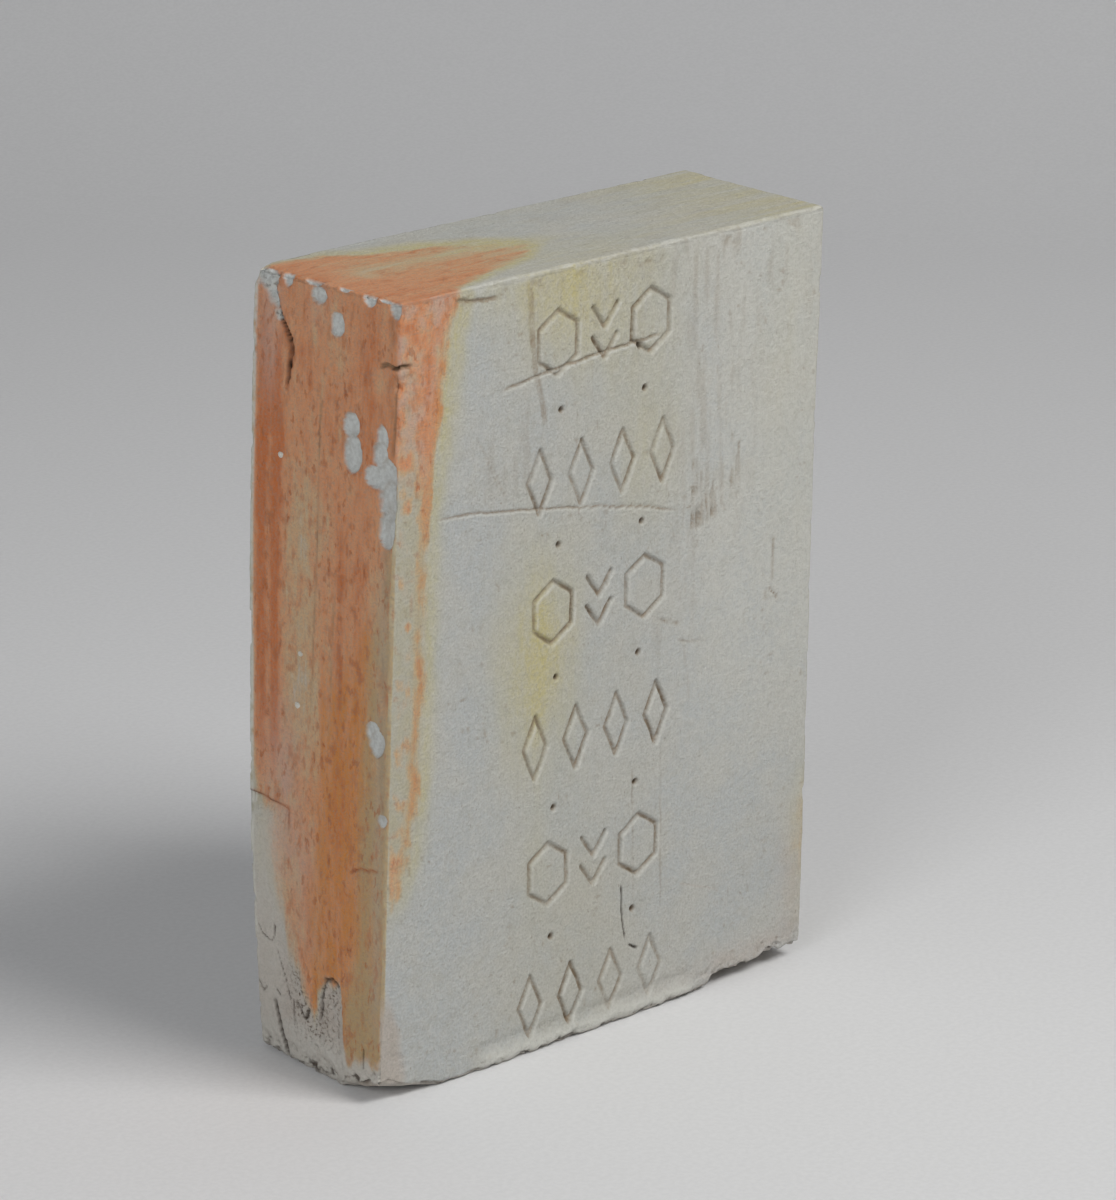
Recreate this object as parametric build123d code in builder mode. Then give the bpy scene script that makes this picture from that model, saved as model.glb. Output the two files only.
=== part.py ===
"""Roller-stamped bar of fired clay, standing on its end.

Frame: millimetres, +Z up, origin at the bottom centre of the bar's box. The stamped
wide face looks along -Y, the flame-marked narrow end face along -X.
"""

from build123d import *
import os

os.makedirs("parts", exist_ok=True)

# ---------------------------------------------------------------- driving dimensions
height = 160.0  # along Z
width = 114.4  # along X, at the top
thickness = 38.9  # along Y
foot_spread = 3.6  # how far the stamped face's left end leans out at the foot
end_flare = 2.2  # how far the back edge of the end face leans out at the top
end_bow = 1.9  # how far that edge bulges at mid-height
arris_radius = 1.3  # worn edges
end_trim = 2.0  # cut off beyond the foot and the top, which leaves both flat

stamp_depth = 0.5
stroke = 1.1  # width of a stamped line
column_x = -2.1  # middle of the stamp column
row_pitch = 27.05
top_row_z = 145.3
row_count = 6
wide_mark = (11.2, 14.0)  # width and height of the hexagon marks
slim_mark = (7.4, 15.2)  # width and height of the lozenge marks
slim_pitch = 11.1
wide_offset = 12.5  # from the column's middle to each hexagon
chevron = (7.0, 4.4)  # width and drop of each chevron stroke
chevron_gap = 3.0  # above and below the middle of the row
dot_radius = 0.8
dot_depth = 1.1
dot_offset = 11.3  # from the column's middle to each dot

crack_depth = 4.0
tear_depth = 1.0
foot_chip_depth = 9.0
foot_chip_slope = 18.0  # degrees, the broken roof falls towards the back
grain_radius = 0.8
grain_proud = 0.35  # how far a grain stands out of the end face
grain_seat = 0.8  # how deep it sits in its pocket

# ---------------------------------------------------------------- derived places
right = (width + foot_spread) / 2
left_top = right - width
left_foot = -right
front = -thickness / 2
back = thickness / 2

stamped_face = Plane(origin=(0, front, 0), x_dir=(1, 0, 0), z_dir=(0, -1, 0))
# on the end face, local x runs towards the stamped face and local y up
end_face = Plane(origin=(left_foot, 0, 0), x_dir=(0, -1, 0), z_dir=(-1, 0, 0))


def end_face_x(toward_front, z):
    """The end face's X at a place on it, between its leaning and its bowed edge."""
    rise = z / height
    leaning = left_foot + (left_top - left_foot) * rise
    bowed = left_top - end_flare * rise - 4 * end_bow * rise * (1 - rise)
    share = (toward_front + back) / thickness
    return bowed + (leaning - bowed) * share


# ---------------------------------------------------------------- grains of grog
# Hard white grains burnt out of the mix, seated in pockets in the end face:
# place towards the stamped face, height, and size against the usual grain.
grains = [
    (-5.7, 75.6, 1.0),
    (-5.0, 86.2, 0.8),
    (-11.0, 124.6, 0.9),
]

with BuildPart() as grog_grains:
    for toward_front, z, size in grains:
        seat = Plane(
            origin=(end_face_x(toward_front, z) - grain_proud, -toward_front, z),
            x_dir=(0, -1, 0),
            z_dir=(-1, 0, 0),
        )
        with BuildSketch(seat):
            RegularPolygon(radius=grain_radius * size, side_count=6)
        extrude(amount=-(grain_proud + grain_seat))
grog_grains.part.label = "grog_grains"


# ---------------------------------------------------------------- stamped marks
def lozenge(size):
    """Corner points of a rhombus, centred."""
    half_width, half_height = size[0] / 2, size[1] / 2
    return [(-half_width, 0), (0, -half_height), (half_width, 0), (0, half_height)]


def tall_hexagon(size):
    """Corner points of a hexagon that stands on a point, centred."""
    half_width, half_height = size[0] / 2, size[1] / 2
    shoulder = half_height / 2
    return [
        (-half_width, -shoulder),
        (0, -half_height),
        (half_width, -shoulder),
        (half_width, shoulder),
        (0, half_height),
        (-half_width, shoulder),
    ]


def ring(points):
    """A closed stamped line, one stroke wide, inside the given corners."""
    with BuildSketch() as shape:
        Polygon(*points, align=None)
        offset(amount=-stroke, mode=Mode.SUBTRACT)
    return shape.sketch


def double_chevron():
    """Two V-shaped strokes, one above the other, centred."""
    half_width, drop = chevron[0] / 2, chevron[1]
    with BuildSketch() as shape:
        for middle in (chevron_gap, -chevron_gap):
            with BuildLine() as line:
                Polyline(
                    (-half_width, middle + drop / 2),
                    (0, middle - drop / 2),
                    (half_width, middle + drop / 2),
                )
            trace(line.line, line_width=stroke)
    return shape.sketch


hexagon_ring = ring(tall_hexagon(wide_mark))
lozenge_ring = ring(lozenge(slim_mark))
chevron_pair = double_chevron()

with BuildSketch(stamped_face) as stamps:
    for row in range(row_count):
        row_z = top_row_z - row * row_pitch
        if row % 2 == 0:
            with Locations((column_x - wide_offset, row_z), (column_x + wide_offset, row_z)):
                add(hexagon_ring)
            with Locations((column_x, row_z)):
                add(chevron_pair)
        else:
            with Locations((column_x, row_z)):
                with GridLocations(slim_pitch, 1, 4, 1):
                    add(lozenge_ring)

# ---------------------------------------------------------------- damage, as outlines
# on the end face: towards the stamped face, and up
firing_crack = [
    (-12.9, 162.0),
    (-13.9, 153.8),
    (-9.6, 146.0),
    (-9.9, 137.0),
    (-8.6, 146.4),
    (-12.4, 154.2),
    (-11.6, 162.0),
]
drying_tear = [(-20.2, 55.0), (-8.6, 52.6), (-8.2, 50.0), (-9.4, 51.6), (-20.2, 53.4)]
spalls = [
    (1.2, [(-4.2, 162.0), (-1.0, 157.0), (0.6, 158.6), (-2.2, 162.0)]),
    (1.2, [(9.8, 162.0), (11.0, 158.4), (13.0, 159.4), (12.6, 162.0)]),
    (0.9, [(1.8, 151.6), (3.4, 150.6), (4.8, 152.0), (4.6, 155.0), (2.8, 155.6), (1.6, 154.0)]),
    (1.1, [(5.6, 136.6), (8.0, 137.2), (9.4, 131.0), (8.0, 125.0), (6.2, 126.2), (5.4, 131.0)]),
]
# round bites along the edge between the stamped face and the end face:
# height, radius, and how far the bite's centre stands outside the edge
edge_bites = [
    (133.0, 4.6, 2.4),
    (126.0, 6.2, 3.4),
    (118.0, 5.0, 2.8),
    (74.5, 4.4, 2.8),
    (158.5, 4.2, 2.2),
]
foot_chip = [(24.5, -6.0), (26.5, 2.0), (39.5, 3.2), (46.0, 4.6), (66.0, 2.6), (66.0, -6.0)]
worn_corner = Plane(origin=(left_foot, front, 5.0), z_dir=(-0.2, -0.34, -0.92))

# ---------------------------------------------------------------- the fired bar
with BuildPart() as clay_body:
    # at the end face the stamped outline leans out at the foot, the back outline at the top
    with BuildSketch(Plane.XZ.offset(thickness / 2)) as stamped_outline:
        with BuildLine():
            foot = Line((left_foot, -end_trim), (right, -end_trim))
            side = Line(foot @ 1, (right, height + end_trim))
            top = Line(side @ 1, (left_top, height + end_trim))
            Line(top @ 1, foot @ 0)
        make_face()
    with BuildSketch(Plane.XZ.offset(-thickness / 2)) as back_outline:
        with BuildLine():
            foot = Line((left_top, -end_trim), (right, -end_trim))
            side = Line(foot @ 1, (right, height + end_trim))
            top = Line(side @ 1, (left_top - end_flare, height + end_trim))
            ThreePointArc(top @ 1, (left_top - end_flare / 2 - end_bow, height / 2), foot @ 0)
        make_face()
    loft(ruled=True)
    split(bisect_by=Plane.XY, keep=Keep.TOP)
    split(bisect_by=Plane.XY.offset(height), keep=Keep.BOTTOM)
    fillet(clay_body.edges(), radius=arris_radius)

    extrude(stamps.sketch, amount=-stamp_depth, mode=Mode.SUBTRACT)
    with BuildSketch(stamped_face):
        for row in range(row_count - 1):
            with Locations((column_x, top_row_z - (row + 0.5) * row_pitch)):
                with GridLocations(2 * dot_offset, 1, 2, 1):
                    Circle(dot_radius)
    extrude(amount=-dot_depth, mode=Mode.SUBTRACT)

    with BuildSketch(end_face):
        Polygon(*firing_crack, align=None)
    extrude(amount=-(foot_spread + crack_depth), mode=Mode.SUBTRACT)
    with BuildSketch(end_face):
        Polygon(*drying_tear, align=None)
    extrude(amount=-(foot_spread + tear_depth), mode=Mode.SUBTRACT)
    for depth, outline in spalls:
        with BuildSketch(end_face):
            Polygon(*outline, align=None)
        extrude(amount=-(foot_spread + depth), mode=Mode.SUBTRACT)

    for z, radius, stand_off in edge_bites:
        edge_x = end_face_x(back, z)
        with Locations((edge_x - 0.7 * stand_off, front - 0.7 * stand_off, z)):
            Sphere(radius, mode=Mode.SUBTRACT)
    with BuildSketch(stamped_face):
        Polygon(*foot_chip, align=None)
    extrude(amount=-foot_chip_depth, taper=foot_chip_slope, mode=Mode.SUBTRACT)
    split(bisect_by=worn_corner, keep=Keep.BOTTOM)

    add(grog_grains.part, mode=Mode.SUBTRACT)
clay_body.part.label = "clay_body"

# ---------------------------------------------------------------- export
for piece in (clay_body, grog_grains):
    export_step(piece.part, f"parts/{piece.part.label}.step")
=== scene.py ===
"""Looks of a roller-stamped bar of fired clay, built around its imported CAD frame.

All sizes are in millimetres until a mesh is made, in the CAD's frame: +Z up, the
stamped wide face towards -Y, the flame-marked end face towards -X.
"""
import functools
import itertools
import math

import bmesh
import bpy
import numpy as np
from mathutils import Matrix, Vector


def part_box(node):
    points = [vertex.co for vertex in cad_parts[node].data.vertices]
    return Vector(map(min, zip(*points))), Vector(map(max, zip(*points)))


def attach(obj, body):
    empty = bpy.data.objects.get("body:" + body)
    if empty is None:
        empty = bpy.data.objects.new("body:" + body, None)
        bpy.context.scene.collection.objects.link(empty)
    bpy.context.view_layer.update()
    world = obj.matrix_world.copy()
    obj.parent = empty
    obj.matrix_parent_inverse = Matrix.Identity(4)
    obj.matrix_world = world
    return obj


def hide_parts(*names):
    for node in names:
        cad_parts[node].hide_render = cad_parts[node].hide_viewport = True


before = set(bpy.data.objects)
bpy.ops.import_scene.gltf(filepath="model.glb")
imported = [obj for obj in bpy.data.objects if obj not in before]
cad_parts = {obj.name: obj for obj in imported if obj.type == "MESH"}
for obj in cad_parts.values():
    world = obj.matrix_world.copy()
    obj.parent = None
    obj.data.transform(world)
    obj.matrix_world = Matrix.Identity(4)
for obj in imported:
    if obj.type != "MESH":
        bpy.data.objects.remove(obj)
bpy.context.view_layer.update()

# ---- sizes
MM = 0.001
LOW, HIGH = (np.array(corner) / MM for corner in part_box("clay_body"))
HEIGHT, WIDTH = HIGH[2], 114.4  # the width is at the top, where the foot's spread is nil
RIGHT, LEFT = HIGH[0], HIGH[0] - WIDTH
FRONT, BACK = LOW[1], HIGH[1]
THICKNESS = BACK - FRONT
FOOT_SPREAD = 3.6  # the stamped face's left end leans out at the foot
END_FLARE, END_BOW = 2.2, 1.9  # the end face's back edge leans out at the top, and bulges
FOOT_BULGE = 0.9  # a further bulge of that edge near the foot
RIGHT_HOLLOW = 0.6  # the right end is slightly waisted
BROKEN_HEIGHT = 14  # the foot's broken edges reach no higher than this
ARRIS = 2.6  # grid lines are closer this near to a rounded edge

COLUMN_X = -2.1  # middle of the stamp column
ROW_PITCH, TOP_ROW_Z, ROWS = 27.05, 145.3, 6
STROKE, STAMP_DEPTH = 1.2, 0.8
HEXAGON = (10.1, 12.7)  # width and height along the middle of the stroke
LOZENGE = (6.2, 12.7)
CHEVRON = (6.4, 4.2)
HEXAGON_OFFSET, LOZENGE_PITCH, CHEVRON_GAP = 12.5, 11.1, 3
DOT_OFFSET, DOT_RADIUS, DOT_DEPTH = 11.3, 0.85, 0.9

FLAME_PAINTS = ("flash", "halo", "ochre", "cream", "pink", "grey", "rust")
WEAR_PAINTS = ("chip", "worn", "pits", "dirt", "dark")
PAINTS = (*FLAME_PAINTS, *WEAR_PAINTS, "cut")


# ---- small maths
def ramp(value, start, end):
    """A smooth step, 0 at start and 1 at end."""
    share = unit((value - start) / (end - start))
    return share * share * (3 - 2 * share)


def unit(value):
    return np.clip(value, 0, 1)


def bell(value, middle, half_width):
    return np.exp(-(((value - middle) / half_width) ** 2))


def noise(places, size, seed):
    """Smooth random values from -1 to 1 in blobs of one size, or one size per axis."""
    table = np.random.default_rng(seed).uniform(-1, 1, (32, 32, 32))
    scaled = places / np.asarray(size, float)
    cell = np.floor(scaled).astype(int)
    part = scaled - cell
    part = part * part * (3 - 2 * part)
    total = np.zeros(len(places))
    for corner in itertools.product((0, 1), repeat=3):
        weight = np.prod(np.where(corner, part, 1 - part), axis=1)
        i, j, k = ((cell + corner) % 32).T
        total += weight * table[i, j, k]
    return total


def rough(places, size, seed, octaves=3):
    """Noise with finer and weaker layers added."""
    size = np.asarray(size, float)
    layers = (noise(places, size / 2**k, seed + k) / 2**k for k in range(octaves))
    return sum(layers) / 1.5


def line_distance(across, up, points):
    """How far each place is from a chain of straight lines, and its share along the chain."""
    points = np.array(points, float)
    lengths = np.linalg.norm(np.diff(points, axis=0), axis=1)
    starts = np.concatenate([[0], np.cumsum(lengths)])
    nearest = np.full(across.shape, np.inf)
    share = np.zeros(across.shape)
    for start, end, length, before in zip(points[:-1], points[1:], lengths, starts):
        run = (end - start) / length
        along = np.clip((across - start[0]) * run[0] + (up - start[1]) * run[1], 0, length)
        away = np.hypot(across - start[0] - along * run[0], up - start[1] - along * run[1])
        closer = away < nearest
        nearest = np.where(closer, away, nearest)
        share = np.where(closer, (before + along) / starts[-1], share)
    return nearest, share


# ---- the bar's skin
def grid_lines(low, high, step, fine):
    """Grid lines from low to high, a step apart, or closer inside a (start, end, step) band."""
    lines = [low]
    while lines[-1] < high:
        steps = [band[2] for band in fine if band[0] <= lines[-1] < band[1]]
        lines.append(lines[-1] + min(steps, default=step))
    lines = np.array(lines)
    return low + (lines - low) * (high - low) / (lines[-1] - low)


def box_shell(xs, ys, zs):
    """A box on these grid lines: corner places, faces that share edges, and each face's sheet."""
    count = np.array([len(xs), len(ys), len(zs)])
    parts = []
    for axis, end in itertools.product(range(3), (0, 1)):
        second, third = (axis + 1) % 3, (axis + 2) % 3
        i, j = np.meshgrid(np.arange(count[second]), np.arange(count[third]), indexing="ij")
        index = np.zeros((3, *i.shape), int)
        index[axis] = end * (count[axis] - 1)
        index[second], index[third] = i, j
        ids = (index[0] * count[1] + index[1]) * count[2] + index[2]
        quads = np.stack([ids[:-1, :-1], ids[1:, :-1], ids[1:, 1:], ids[:-1, 1:]], -1).reshape(-1, 4)
        parts.append(quads if end else quads[:, ::-1])
    used, faces = np.unique(np.concatenate(parts), return_inverse=True)
    i, rest = np.divmod(used, count[1] * count[2])
    j, k = np.divmod(rest, count[2])
    sheets = np.repeat(np.arange(6), [len(quads) for quads in parts])
    return np.stack([xs[i], ys[j], zs[k]], 1), faces.reshape(-1, 4), sheets


class Skin:
    """Places on the bar's skin, how deep each is worn away, and how strongly each finish shows, painted
    shade and highlights among them.
    """

    def __init__(self, places):
        low = np.array([LEFT, FRONT, 0])
        high = np.array([RIGHT, BACK, HEIGHT])
        radius = 0.95 + 0.3 * rough(places, 9, 11) + 0.2 * rough(places, 2.5, 12)
        core = np.clip(places, low + radius[:, None], high - radius[:, None])
        out = places - core
        self.out = out / np.linalg.norm(out, axis=1)[:, None]
        self.place = core + self.out * radius[:, None]
        self.x, self.y, self.z = self.place.T
        self.front, self.back = (unit(sign * self.out[:, 1]) for sign in (-1, 1))
        self.end, self.right = (unit(sign * self.out[:, 0]) for sign in (-1, 1))
        self.foot, self.top = (unit(sign * self.out[:, 2]) for sign in (-1, 1))
        self.lean()
        # across the corner edge: towards +X on the stamped face, towards +Y, negative, on the end
        self.inset, self.reach = self.x - self.left, self.y - FRONT
        self.around = self.inset - self.reach
        self.wander, self.ragged = 0.22 * self.rough(1.8, 31), self.rough(2.4, 51)
        self.crumbly = self.rough(1.6, 52)
        self.on_end = (self.end > 0.35).astype(float)
        self.depth = np.zeros(len(places))
        self.paint = {name: np.zeros(len(places)) for name in PAINTS}

    def lean(self):
        """The left end leans out at the foot and bows at the back; the right end is waisted."""
        rise = self.z / HEIGHT
        share = (BACK - self.y) / THICKNESS
        wave = 0.35 * noise(np.stack([rise * 0, share * 9, self.z], 1), 26, 5)
        bulge = END_FLARE * rise + 4 * END_BOW * rise * (1 - rise) + FOOT_BULGE * bell(rise, 0.25, 0.16)
        lean = -FOOT_SPREAD * (1 - rise) * share - bulge * (1 - share)
        self.left = LEFT + lean + wave
        inward = (RIGHT - self.x) / WIDTH
        waist = -RIGHT_HOLLOW * bell(self.z, 0.68 * HEIGHT, 0.3 * HEIGHT) * (1 - inward)
        self.x = self.x + (lean + wave) * inward + waist
        self.place = np.stack([self.x, self.y, self.z], 1)

    def rough(self, size, seed, up=1, octaves=3):
        """Unevenness over the skin, in upright streaks where up is under 1."""
        return rough(self.place * (1, 1, up), size, seed, octaves)

    def noise(self, size, seed, up=1):
        return noise(self.place * (1, 1, up), size, seed)

    def show(self, name, amount, near=slice(None)):
        self.paint[name][near] = np.maximum(self.paint[name][near], amount)

    def painter(self, where):
        """Shows finishes on one face: how strongly is multiplied by how far a place is on it."""
        return lambda name, amount: self.show(name, where * amount)

    def sink(self, amount, near=slice(None)):
        self.depth[near] = np.maximum(self.depth[near], amount)

    def shaped(self):
        """The worn places. The foot is broken up from the floor by squeezing the lowest part."""
        places = self.place - self.out * self.depth[:, None]
        places[:, 2] += foot_rise(self) * unit(1 - self.z / BROKEN_HEIGHT)
        places[:, 2] = np.maximum(places[:, 2], 0)
        return places


# ---- stamped marks
def outline(corners):
    return corners + corners[:1]


def hexagon(x, z):
    side, tip = HEXAGON[0] / 2, HEXAGON[1] / 2
    turns = [(-1, -0.5), (0, -1), (1, -0.5), (1, 0.5), (0, 1), (-1, 0.5)]
    return outline([(x + across * side, z + up * tip) for across, up in turns])


def lozenge(x, z):
    side, tip = LOZENGE[0] / 2, LOZENGE[1] / 2
    return outline([(x - side, z), (x, z - tip), (x + side, z), (x, z + tip)])


def chevron(x, z):
    side, drop = CHEVRON[0] / 2, CHEVRON[1] / 2
    return [(x - side, z + drop), (x, z - drop), (x + side, z + drop)]


def stamped_lines():
    """Every stamped line on the wide face, with how firmly the roller pressed it."""
    pressed = np.random.default_rng(3)
    lines = []
    for row in range(ROWS):
        z = TOP_ROW_Z - row * ROW_PITCH
        if row % 2 == 0:
            shapes = [hexagon(COLUMN_X + way * HEXAGON_OFFSET, z) for way in (-1, 1)]
            shapes += [chevron(COLUMN_X, z + way * CHEVRON_GAP) for way in (1, -1)]
        else:
            shapes = [lozenge(COLUMN_X + (step - 1.5) * LOZENGE_PITCH, z) for step in range(4)]
        worn_low = 0.25 if row == ROWS - 1 else 0
        for across, shape in enumerate(shapes):
            lines.append((shape, pressed.uniform(0.8, 1.05) - worn_low * (across > 1)))
    return lines


def press_stamps(skin):
    """Grooves with soft walls and raised lips, uneven as a worn roller leaves them. The lips' lower right
    sides are painted pale: a painted highlight.
    """
    wobble = [0.16 * skin.rough(3.2, seed) for seed in (21, 22)]
    x, z = skin.x + wobble[0], skin.z + wobble[1]
    uneven = 0.85 + 0.3 * skin.rough(5, 23)
    stain = unit(0.8 + 0.6 * skin.rough(2.2, 24))
    for line, firmness in stamped_lines():
        low, high = np.min(line, axis=0) - 2.5, np.max(line, axis=0) + 2.5
        near = (skin.front > 0.9) & (x > low[0]) & (x < high[0]) & (z > low[1]) & (z < high[1])
        away, _ = line_distance(x[near], z[near], line)
        firm = firmness * np.clip(uneven[near], 0.4, 1.2)
        skin.depth[near] += STAMP_DEPTH * firm * ramp(away, 0.5 * STROKE + 0.22, 0.12 * STROKE)
        skin.depth[near] -= 0.18 * firm * bell(away, STROKE, 0.42)
        dirt = firm * stain[near] * ramp(away, 0.5 * STROKE + 0.05, 0.15 * STROKE)
        skin.show("dirt", dirt, near)
        # painted highlight: pale paint on the lower right side of each stroke's lip
        painted_lip_highlight, _ = line_distance(x[near] - 0.62, z[near] + 0.5, line)
        painted_lip_highlight = ramp(painted_lip_highlight, 0.75, 0.2) * ramp(away, 0.5 * STROKE - 0.1, 0.5 * STROKE + 0.25)
        skin.show("worn", 0.7 * firm * painted_lip_highlight, near)
    pits = [
        (COLUMN_X + way * DOT_OFFSET, TOP_ROW_Z - (gap + 0.5) * ROW_PITCH, 1)
        for gap in range(ROWS - 1)
        for way in (-1, 1)
    ]
    pits.append((7.7, 140.6, 1.15))
    for pit_x, pit_z, size in pits:
        away = np.hypot(x - pit_x, z - pit_z) + 9 * (skin.front < 0.9)
        skin.depth += DOT_DEPTH * size * ramp(away, DOT_RADIUS * size + 0.15, 0.25)
        skin.depth -= 0.12 * bell(away, DOT_RADIUS * 1.6, 0.4)
        skin.show("dirt", ramp(away, DOT_RADIUS * size + 0.1, 0.3))
        skin.show("dark", 0.8 * ramp(away, DOT_RADIUS * size - 0.1, 0.1))


# ---- scratches and cracks
def score(skin, across, line, width, depth, where, lip=0, **paint):
    """One scratch or crack along a chain of points, fading out at its ends. A raised lip below it is
    painted pale as a painted highlight.
    """
    low, high = np.min(line, axis=0) - 3, np.max(line, axis=0) + 3
    near = (across > low[0]) & (across < high[0]) & (skin.z > low[1]) & (skin.z < high[1]) & (where > 0)
    across, up = across[near] + skin.wander[near], skin.z[near] + skin.wander[near]
    away, share = line_distance(across, up, line)
    fade = ramp(share, -0.02, 0.08) * ramp(share, 1.02, 0.9) * where[near]
    below, _ = line_distance(across, up + 0.5 * width + 0.35, line)
    skin.depth[near] += depth * fade * ramp(away, 0.5 * width + 0.12, 0.05)
    skin.depth[near] -= lip * fade * ramp(below, 0.5, 0)
    # painted highlight: the raised lip below the line painted pale
    skin.show("worn", 3 * lip * fade * ramp(below, 0.4, 0.1), near)
    for name, amount in paint.items():
        skin.show(name, amount * fade * ramp(away, 0.5 * width + 0.22, 0.3 * width), near)


def scratch_wide_face(skin):
    front = 1.0 * (skin.front > 0.7)
    scratch = functools.partial(score, skin, skin.x, where=front)
    long_scratch = [(-29.8, 138.4), (-19.4, 139.8), (-3.4, 141.2), (7.4, 141.7), (14.3, 142)]
    scratch(long_scratch, 0.5, 0.4, lip=0.26, dirt=0.7)
    crease = [(-46.2, 116.2), (-37.2, 115.8), (-24, 113.8), (-2.5, 110.2), (8.6, 107.8), (19.8, 104.8)]
    scratch(crease, 0.3, 0.28, lip=0.16, dirt=0.65)
    scratch([(-41.6, 158.2), (-36.5, 157.4), (-30.8, 156.9)], 0.9, 0.45, dirt=0.75)
    drag = [(-22.4, 159), (-21.4, 146), (-20.2, 139.3), (-18.6, 134), (-17.6, 129)]
    scratch(drag, 1.5, 0.22, where=front * (0.7 + 0.5 * skin.noise(3, 33)), dirt=0.75)
    for start in ((-35.6, 130.2), (-33.4, 127.4)):
        scratch([start, (start[0] + 6.2, start[1] - 11.4)], 0.25, 0.12, dirt=0.3)
    for line in ([(5.9, 29.5), (6.3, 22.8), (7.5, 17.4)], [(8.4, 15.9), (11.1, 14.7)]):
        scratch(line, 0.22, 0.5, dark=0.95)
    for line in ([(8.2, 54), (9.6, 20)], [(16.1, 57.3), (17.3, 21.1)], [(21.6, 77.9), (24.1, 64.3)]):
        scratch(line, 0.3, 0.14, where=front * (0.6 + 0.6 * skin.noise(4, 35)), dirt=0.4)
    scratch([(22.3, 25.8), (34.3, 21)], 0.2, 0.08, grey=0.5)
    scratch([(46.8, 94), (46.7, 84)], 0.25, 0.15, dirt=0.6)
    scratch([(46.1, 83.2), (47.6, 81.6), (48.8, 80)], 0.35, 0.35, dirt=0.9)
    scratch([(39.2, 80), (39.4, 73)], 0.3, 0.12, dirt=0.4)
    patchy = front * (0.6 + 0.8 * skin.noise(1.8, 34))
    scuffs = np.random.default_rng(36)
    for number in range(22):
        start = scuffs.uniform(20, 37.5)
        low = 99.5 + 0.35 * abs(start - 24) * scuffs.uniform(0.6, 1.4)
        high = low + scuffs.uniform(4, 9) + 8 * (number % 4 == 0)
        line = [(start, high), (start + scuffs.uniform(-0.4, 0.9), low)]
        scratch(line, scuffs.uniform(0.4, 0.8), 0.3, where=patchy, lip=0.08, dirt=0.52)
    for line in ([(19.4, 78), (23.8, 76.6), (26.8, 76.2)], [(14, 83.5), (18.6, 81.8), (20.6, 81.4)]):
        scratch(line, 0.6, 0.3, where=patchy, lip=0.05, dirt=0.6)


def crack_end_face(skin):
    """The firing crack, down from the end face's top, painted dark inside as painted shade."""
    reach, z, end = skin.reach, skin.z, skin.on_end
    crack = [(31.6, 161.5), (33, 156.6), (30.9, 151.1), (28.6, 147.6), (28.3, 145.4), (29.2, 138)]
    away, share = line_distance(reach + 0.15 * skin.rough(2, 41), z, crack)
    opening = 0.25 + 0.75 * bell(share, 0.66, 0.2)
    inside = end * ramp(away, 0.5 * opening + 0.25, 0.2 * opening) * ramp(share, 1, 0.9)
    skin.sink((1.2 + 1.6 * opening) * inside)
    # painted shade: the inside of the crack painted dark
    skin.show("dark", ramp(inside, 0.05, 0.4) * ramp(share, 0.05, 0.3))
    skin.show("rust", ramp(away, opening + 0.5, 0.3) * end * ramp(share, 0.3, 0.6))


def crack_foot(skin):
    """Short cracks round the foot of the end face, each a line and its width."""
    for line, width in (
        ([(33.4, 12.2), (31.8, 6.4), (29.4, -1)], 1),
        ([(37.8, 27.6), (35.8, 24.8), (33.4, 24.4), (32.4, 26.2), (32.6, 28.6)], 0.1),
        ([(32, 23.4), (30.2, 19), (28, 13)], 0.1),
        ([(38.2, 14.6), (36.8, 12.6), (35.4, 14)], 0.25),
        ([(32.6, 14.2), (31.4, 13.2)], 0.3),
        ([(27.4, 13.6), (27.2, 8.4)], 0.25),
        ([(26.2, 13.6), (24, 10.4), (22.4, 13.2)], 0.45),
        ([(17.6, 21), (18.4, 16.4), (19.6, 11.4)], 0.5),
        ([(18, 20.6), (15.4, 21.8), (13.2, 20.8)], 0.5),
        ([(5.6, 9.6), (5.5, 4)], 0.4),
    ):
        broken = skin.on_end * unit(0.55 + width + 0.8 * skin.noise(1.6, 46))
        score(skin, skin.reach, line, width, 0.3 + width, where=broken, dark=0.9)
    short = [(10.2, 45.4), (7.6, 47), (4.2, 47.7), (2, 47.9)]
    score(skin, skin.reach, short, 0.5, 0.4, where=skin.on_end, rust=1)


def notch_corner_edge(skin):
    """Lines, a dark notch and a crumbled hollow on the edge between end face and stamped face; one line
    down the edge is a painted shadow over a shallow score.
    """
    around, sides = skin.around, 1.0 * (skin.front + skin.end > 0.5)
    scratch = functools.partial(score, skin, around, where=sides)
    notch = [(-5.2, 147), (-3.2, 147.9), (-0.8, 147.5), (1.4, 148.1), (3.4, 147.6)]
    scratch([(-1.5, 48.3), (2, 48.8), (7, 48.6)], 0.2, 0.12, dirt=0.35)
    scratch(notch, 0.8, 0.8, dirt=0.9, rust=1)
    scratch([(-2.2, 147.4), (0.4, 147.8)], 0.5, 0.5, dark=0.7)
    # painted shadow: a thin dark line down the edge under the notch, over a shallow score
    scratch([(-0.9, 146.5), (-0.7, 140), (-1, 130)], 0.5, 0.25, dirt=0.55, rust=0.6)
    hollow = bell(around, 0.4, 3.2) * bell(skin.z, 144.4, 2.4) * sides
    skin.depth += hollow * (0.55 + 0.9 * skin.crumbly)
    skin.show("cream", hollow * ramp(skin.crumbly, 0.2, -0.3))
    skin.show("rust", 0.8 * hollow * ramp(skin.crumbly, 0.15, 0.5))


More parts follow.
